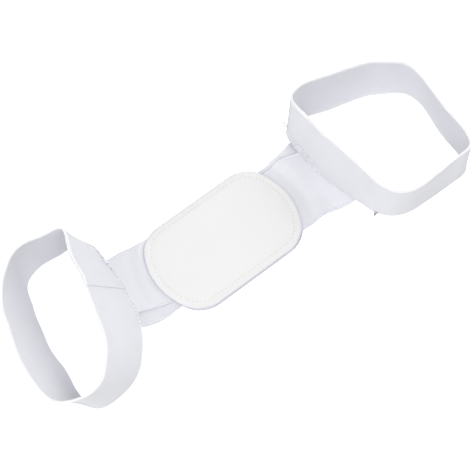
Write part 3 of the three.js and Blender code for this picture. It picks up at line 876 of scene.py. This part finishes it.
# columns: name, strip, y range, height, pitch, gap, radius, sink, swing; in millimetres
SEAM_ROWS = (
    ("right_foot_stitches", RIGHT_STRIP, (-38, 36), 2.2, 2.9, 0.12, 0.32, 0.12, 0.0),
    ("right_zigzag_stitches", RIGHT_STRIP, (4, 26), 9.5, 2.6, 0.08, 0.50, -0.20, 1.8),
    ("left_foot_stitches", LEFT_STRIP, (-16, 40), 2.6, 3.0, 0.20, 0.32, 0.12, 0.0),
    ("left_zigzag_stitches", LEFT_STRIP, (22, 52), 5.2, 2.6, 0.05, 0.50, -0.20, 1.3),
)
right_foot_row, right_zigzag, left_foot_row, left_zigzag = (foot_seam(*row) for row in SEAM_ROWS)

# %% Knot and thread tufts
# columns: y along the near wall, height, slant in degrees from level, length, and share of
# the length that stands off the cloth; lengths in millimetres
KNOT_ROWS = np.array([
    (2.6, 0.9, 15, 4.2, 0.0),
    (3.4, 1.5, -35, 3.8, 0.0),
    (2.0, 2.1, 75, 3.2, 0.0),
    (4.4, 1.5, 105, 3.0, 0.0),
])
TUFT_ROWS = np.array([
    (40.0, 13.0, 140, 6.0, 0.70),
    (39.0, 12.0, 190, 5.0, 0.65),
    (-49.0, 2.5, 285, 5.4, 0.55),
    (-50.0, 2.5, 262, 6.2, 0.55),
    (-51.0, 2.5, 235, 5.0, 0.60),
])
TUFT_ROOT = 0.12
TUFT_LEAN = 0.1
KNOT_RADIUS = 0.70 * MM
TUFT_RADIUS = 0.36 * MM


def loose_ends(name, rows, strip, radius):
    """Short lengths of thread on the outer face of a near wall: each starts at its row's
    place and runs off at its own slant along the cloth and away from it."""
    wall = strip[0]
    share = share_at_y(wall, rows[:, 0] * MM)
    stand = outer_offset(*strip, share)[:, None]
    place, out = on_wall(wall, share, rows[:, 1] * MM, stand)
    up_wall = wall_at(wall, share)[1]
    ahead = unit(np.cross(up_wall, out))
    slant = np.radians(rows[:, 2])[:, None]
    off = rows[:, 4:5]
    reach = (ahead * np.cos(slant) + up_wall * np.sin(slant)) * np.sqrt(1 - off ** 2) + out * off
    reach *= rows[:, 3:4] * MM
    behind = np.where(off == 0, 0.5, TUFT_ROOT)
    return stitches(name, place - reach * behind, place + reach * (1 - behind),
                    unit(out + up_wall * TUFT_LEAN), radius, 0.0)


knot = loose_ends("right_seam_knot", KNOT_ROWS, RIGHT_STRIP, KNOT_RADIUS)
tufts = loose_ends("right_seam_tufts", TUFT_ROWS, RIGHT_STRIP, TUFT_RADIUS)

# %% [markdown]
# ## Materials: woven elastic
#
# The weave is too fine to model thread by thread. The larger ribs are already in the mesh, so
# the material adds the small scale: rows of tiny loops in brick order, read from the cloth's
# own UV map, with painted shade in the hollows between them, and a soft mottling. The mottling
# is a node group of its own, because thread and leatherette use it too. A little sheen stands
# for the fuzz. Painted shade, a darker tone where the cloth turns away from the eye, draws the
# thin line that shows along its edges, and the selvedge carries a painted highlight on the
# loops and painted shade on the bands.

# %% Node helpers
def new_group(name, inputs, outputs):
    """Empty shader node group with named float, colour or vector sockets."""
    group = bpy.data.node_groups.new(name, "ShaderNodeTree")
    for label, kind, value in inputs:
        socket = group.interface.new_socket(label, in_out="INPUT", socket_type=kind)
        if value is not None:
            socket.default_value = value
    for label, kind in outputs:
        group.interface.new_socket(label, in_out="OUTPUT", socket_type=kind)
    return group, group.nodes.new("NodeGroupInput"), group.nodes.new("NodeGroupOutput")


def calc(tree, operation, a, b=None, c=None, clamp=False):
    """Math node; a, b and c are sockets or numbers. Returns its output."""
    node = tree.nodes.new("ShaderNodeMath")
    node.operation = operation
    node.use_clamp = clamp
    for slot, value in enumerate((a, b, c)):
        if isinstance(value, (int, float)):
            node.inputs[slot].default_value = value
        elif value is not None:
            tree.links.new(value, node.inputs[slot])
    return node.outputs[0]


def mix_colour(tree, factor, a, b):
    """Mix of two colours by a factor; each is a socket or a tuple."""
    node = tree.nodes.new("ShaderNodeMix")
    node.data_type = "RGBA"
    for socket, value in ((node.inputs["Factor"], factor), (node.inputs[6], a), (node.inputs[7], b)):
        if hasattr(value, "is_output"):
            tree.links.new(value, socket)
        else:
            socket.default_value = value
    return node.outputs[2]


def new_material(name, settings):
    """Material with its node tree and its Principled BSDF, whose own sockets take settings."""
    material = bpy.data.materials.new(name)
    material.use_nodes = True
    shader = material.node_tree.nodes["Principled BSDF"]
    for label, value in settings.items():
        shader.inputs[label].default_value = value
    return material, material.node_tree, shader


def placed(tree, group, coordinate, values):
    """A node group put into a material, fed by a coordinate and given its own values."""
    node = tree.nodes.new("ShaderNodeGroup")
    node.node_tree = group
    for label, value in values.items():
        node.inputs[label].default_value = value
    tree.links.new(coordinate, node.inputs["Vector"])
    return node.outputs


def add_bump(tree, shader, height, strength, distance):
    """Bump from a height socket into the shader's normal."""
    bump = tree.nodes.new("ShaderNodeBump")
    bump.inputs["Strength"].default_value = strength
    bump.inputs["Distance"].default_value = distance
    tree.links.new(height, bump.inputs["Height"])
    tree.links.new(bump.outputs["Normal"], shader.inputs["Normal"])


# %% Fibre noise, shared by cloth and thread
FIBRE_DETAIL = 4
fibre, given, result = new_group(
    "fibre_noise", [("Vector", "NodeSocketVector", None), ("Scale", "NodeSocketFloat", 40.0)],
    [("Mottle", "NodeSocketFloat")])
wide = fibre.nodes.new("ShaderNodeTexNoise")
wide.inputs["Detail"].default_value = FIBRE_DETAIL
fibre.links.new(given.outputs["Vector"], wide.inputs["Vector"])
fibre.links.new(given.outputs["Scale"], wide.inputs["Scale"])
fibre.links.new(wide.outputs["Fac"], result.inputs["Mottle"])
print("fibre noise:", len(fibre.nodes), "nodes")

# %% Brick-order weave
# lengths in centimetres, as in the cloth's UV map
HALF_WIDTH_CM = WEBBING_WIDTH / 2 * UV_SCALE
SELVEDGE_CM = 0.18
SELVEDGE_SHARPNESS = 20.0
weave, given, result = new_group(
    "elastic_weave",
    [("Vector", "NodeSocketVector", None), ("Rib pitch", "NodeSocketFloat", 0.1),
     ("Loop pitch", "NodeSocketFloat", 0.1)],
    [("Height", "NodeSocketFloat"), ("Selvedge", "NodeSocketFloat")])
parts = weave.nodes.new("ShaderNodeSeparateXYZ")
weave.links.new(given.outputs["Vector"], parts.inputs[0])


def wave(tree, turns):
    """Row of round humps, one to each whole number."""
    return calc(tree, "ABSOLUTE", calc(tree, "SINE", calc(tree, "MULTIPLY", turns, np.pi)))


rib = calc(weave, "DIVIDE", parts.outputs["Y"], given.outputs["Rib pitch"])
odd = calc(weave, "MULTIPLY", calc(weave, "MODULO", calc(weave, "FLOOR", rib), 2.0), 0.5)
loop = calc(weave, "ADD", calc(weave, "DIVIDE", parts.outputs["X"], given.outputs["Loop pitch"]), odd)
height = calc(weave, "MULTIPLY", wave(weave, rib),
              calc(weave, "MULTIPLY_ADD", wave(weave, loop), 0.5, 0.5))
edge = calc(weave, "SUBTRACT", calc(weave, "ABSOLUTE", parts.outputs["Y"]), HALF_WIDTH_CM - SELVEDGE_CM)
selvedge = calc(weave, "MULTIPLY", edge, SELVEDGE_SHARPNESS, clamp=True)
weave.links.new(height, result.inputs["Height"])
weave.links.new(selvedge, result.inputs["Selvedge"])
print("elastic weave:", len(weave.nodes), "nodes")

# %% Webbing material
CLOTH_COLOUR = (0.800, 0.804, 0.842, 1)
# painted shade in the hollows of the weave; the same tone is also the dark end of the random fibre
# mottle
CLOTH_VALLEY = (0.715, 0.722, 0.766, 1)
# painted highlight: the loops' selvedge is coloured lighter for the light it catches where it faces up
SELVEDGE_HIGHLIGHT = (0.870, 0.875, 0.900, 1)
# painted shade: the bands' selvedge is coloured darker for the shadow along their edges
BAND_EDGE_SHADE = (0.750, 0.755, 0.805, 1)
# painted shade: the thin dark line along the cloth's edges, where it turns away from the eye
CLOTH_RIM_SHADE = (0.42, 0.42, 0.48, 1)
WEAVE_SHADE, FUZZ_SHADE = 0.75, 0.5
RIM_START, RIM_GAIN = 0.82, 4.0


def elastic_material(name, edge_colour, pieces):
    """Woven elastic: the weave and the fibre noise mix valley and cloth tones, the valleys as
    painted shade; the selvedge gets edge_colour, which paints a highlight along the loops' edges
    and shade along the bands' edges; and cloth seen at a glancing angle gets painted shade."""
    material, tree, shader = new_material(name, {
        "Roughness": 0.88, "Specular IOR Level": 0.25, "Sheen Weight": 0.25, "Sheen Roughness": 0.5})
    cloth_uv = tree.nodes.new("ShaderNodeUVMap")
    cloth_uv.uv_map = "cloth"
    knit = placed(tree, weave, cloth_uv.outputs["UV"], {"Rib pitch": 0.103, "Loop pitch": 0.12})
    place = tree.nodes.new("ShaderNodeTexCoord").outputs["Object"]
    fuzz = placed(tree, fibre, place, {"Scale": 90})
    shade = calc(tree, "ADD", calc(tree, "MULTIPLY", knit["Height"], WEAVE_SHADE),
                 calc(tree, "MULTIPLY", fuzz["Mottle"], FUZZ_SHADE), clamp=True)
    colour = mix_colour(tree, shade, CLOTH_VALLEY, CLOTH_COLOUR)
    # edge_colour paints the selvedge: a highlight on the loops, shade on the bands
    colour = mix_colour(tree, knit["Selvedge"], colour, edge_colour)
    # painted shade: cloth seen at a glancing angle is mixed towards the dark rim tone
    facing = tree.nodes.new("ShaderNodeLayerWeight").outputs["Facing"]
    rim = calc(tree, "MULTIPLY", calc(tree, "SUBTRACT", facing, RIM_START), RIM_GAIN, clamp=True)
    tree.links.new(mix_colour(tree, rim, colour, CLOTH_RIM_SHADE), shader.inputs["Base Color"])
    add_bump(tree, shader, knit["Height"], 0.35, 0.15 * MM)
    for piece in pieces:
        piece.data.materials.append(material)
    print(name, "on", [piece.name for piece in pieces])


elastic_material("woven_elastic", SELVEDGE_HIGHLIGHT, [right_arm_loop, left_arm_loop])
elastic_material("band_elastic", BAND_EDGE_SHADE, [lower_band, upper_band])

# %% [markdown]
# ## Materials: leatherette and thread
#
# Leatherette is a smooth plastic skin with a shallow pebble grain and a soft gloss. The needle
# holes get painted shade and the plate's side a darker lilac tone, both from numbers stored on
# each point of the mesh, so they stay with the shape. The thread is plain polyester with the
# same fibre noise as the cloth; the rows at the loops' feet and the loose ends that stand off
# the right loop carry painted shade, a darker tone for the shade they lie in.

# %% Leatherette
LEATHER_COLOUR = (0.788, 0.788, 0.790, 1)
LEATHER_DARK = (0.771, 0.771, 0.773, 1)
# painted shade: the needle holes are darkened for the shade inside them
HOLE_SHADE_COLOUR = (0.67, 0.67, 0.61, 1)
HOLE_SHADE = 0.9
SIDE_COLOUR = (0.72, 0.71, 0.80, 1)
GRAIN_SCALE = 1300


def point_mark(tree, name):
    """Number stored on the mesh's points."""
    node = tree.nodes.new("ShaderNodeAttribute")
    node.attribute_name = name
    return node.outputs["Fac"]


leatherette, tree, shader = new_material(
    "pale_leatherette", {"Roughness": 0.7, "Specular IOR Level": 0.25})
place = tree.nodes.new("ShaderNodeTexCoord").outputs["Object"]
grain = tree.nodes.new("ShaderNodeTexVoronoi")
grain.inputs["Scale"].default_value = GRAIN_SCALE
tree.links.new(place, grain.inputs["Vector"])
patch = placed(tree, fibre, place, {"Scale": 35})
colour = mix_colour(tree, patch["Mottle"], LEATHER_DARK, LEATHER_COLOUR)
# painted shade in the needle holes, from the mark stored on the mesh
dark = calc(tree, "MULTIPLY", point_mark(tree, "needle_hole"), HOLE_SHADE, clamp=True)
colour = mix_colour(tree, dark, colour, HOLE_SHADE_COLOUR)
colour = mix_colour(tree, point_mark(tree, "side"), colour, SIDE_COLOUR)
tree.links.new(colour, shader.inputs["Base Color"])
add_bump(tree, shader, grain.outputs["Distance"], 0.25, 0.08 * MM)
for piece in (front_plate, back_plate):
    piece.data.materials.append(leatherette)
print("leatherette:", len(tree.nodes), "nodes")

# %% Thread
THREAD_COLOUR, THREAD_DARK = (0.88, 0.88, 0.91, 1), (0.74, 0.74, 0.79, 1)
# painted shade: the foot rows use a darker copy of the thread for the shade near the loops' feet
FOOT_COLOUR, FOOT_DARK = (0.82, 0.82, 0.86, 1), (0.70, 0.70, 0.76, 1)
# painted shadow: the cut ends of thread are coloured dark for the shadow they stand in
TUFT_COLOUR, TUFT_DARK = (0.34, 0.33, 0.40, 1), (0.18, 0.17, 0.23, 1)


def thread_material(name, light, dark, pieces):
    """Matt polyester: the fibre noise mixes a light and a dark tone."""
    material, tree, shader = new_material(name, {"Roughness": 0.6})
    place = tree.nodes.new("ShaderNodeTexCoord").outputs["Object"]
    twist = placed(tree, fibre, place, {"Scale": 900})
    tree.links.new(mix_colour(tree, twist["Mottle"], dark, light), shader.inputs["Base Color"])
    for piece in pieces:
        piece.data.materials.append(material)
    print(name, "on", [piece.name for piece in pieces])


thread_material("polyester_thread", THREAD_COLOUR, THREAD_DARK,
                [plate_thread, right_zigzag, left_zigzag, knot])
# the foot rows carry painted shade
thread_material("shaded_foot_thread", FOOT_COLOUR, FOOT_DARK, [right_foot_row, left_foot_row])
thread_material("shaded_thread", TUFT_COLOUR, TUFT_DARK, [tufts])

# %% [markdown]
# ## What each piece stands for
#
# Every detailed piece is tied to the CAD model: it rides on the one body and replaces its plain
# solid.

# %% Tie the pieces to the frame
stands_for = {
    right_arm_loop: "right_arm_loop", left_arm_loop: "left_arm_loop",
    lower_band: "lower_cross_band", upper_band: "upper_cross_band",
    front_plate: "front_plate", back_plate: "back_plate",
}
for piece, node in stands_for.items():
    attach(piece, "root")
    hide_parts(node)
for piece in (plate_thread, right_foot_row, right_zigzag, left_foot_row, left_zigzag, knot, tufts):
    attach(piece, "root")
print("pieces tied to the frame:", len(stands_for))

# %% [markdown]
# ## Floor and light
#
# A catalogue picture of a white thing is lit softly from all round, with a little more from
# one side, so that the walls of the loops still read. The floor is a pale sheet that glows a
# little, as a lit table does, and looks plain white to the camera, which swallows the shadow.

# %% Floor
FLOOR_REACH = 3.0
FLOOR_DROP = 0.2 * MM
FLOOR_GLOW = 0.16
FLOOR_WHITE = 1.0
floor_mesh = bpy.data.meshes.new("floor")
floor_mesh.from_pydata([(-FLOOR_REACH, -FLOOR_REACH, 0), (FLOOR_REACH, -FLOOR_REACH, 0),
                        (FLOOR_REACH, FLOOR_REACH, 0), (-FLOOR_REACH, FLOOR_REACH, 0)],
                       [], [(0, 1, 2, 3)])
floor = bpy.data.objects.new("floor", floor_mesh)
bpy.context.scene.collection.objects.link(floor)
floor.location.z = -FLOOR_DROP
paper, tree, shader = new_material("pale_floor", {
    "Base Color": (0.8, 0.8, 0.8, 1), "Roughness": 0.9, "Specular IOR Level": 0.0,
    "Emission Color": (1, 1, 1, 1)})
seen = tree.nodes.new("ShaderNodeLightPath")
glow = calc(tree, "MULTIPLY_ADD", seen.outputs["Is Camera Ray"], FLOOR_WHITE, FLOOR_GLOW)
tree.links.new(glow, shader.inputs["Emission Strength"])
floor_mesh.materials.append(paper)
print("floor:", 2 * FLOOR_REACH, "m wide")

# %% Light
WORLD_STRENGTH = 0.02
SOFTBOX_SIZE = 1.2
SOFTBOX_AWAY = 1.7
SOFTBOXES = (  # name, turn and climb in degrees as the object sees it, watts
    ("right_softbox", 0, 28, 7.6),
    ("right_far_softbox", 40, 30, 10.7),
    ("left_softbox", 180, 28, 9.4),
    ("left_far_softbox", 150, 28, 2.4),
    ("left_upper_softbox", 180, 60, 9.8),
    ("near_softbox", -90, 45, 3.6),
    ("near_upper_softbox", -90, 66, 12.7),
    ("near_right_softbox", -55, 40, 1.7),
)

world = bpy.data.worlds.new("studio")
world.use_nodes = True
backdrop = world.node_tree.nodes["Background"]
backdrop.inputs["Color"].default_value = (1, 1, 1, 1)
backdrop.inputs["Strength"].default_value = WORLD_STRENGTH
bpy.context.scene.world = world

for name, turn_degrees, climb_degrees, watts in SOFTBOXES:
    turn, climb = np.radians((turn_degrees, climb_degrees))
    light = bpy.data.objects.new(name, bpy.data.lights.new(name, "AREA"))
    light.data.size = SOFTBOX_SIZE
    light.data.energy = watts
    light.location = SOFTBOX_AWAY * Vector((
        np.cos(turn) * np.cos(climb), np.sin(turn) * np.cos(climb), np.sin(climb)))
    light.rotation_euler = (-light.location).to_track_quat("-Z", "Y").to_euler()
    bpy.context.scene.collection.objects.link(light)
bpy.context.scene.view_settings.view_transform = "Standard"
print("softboxes:", len(SOFTBOXES))
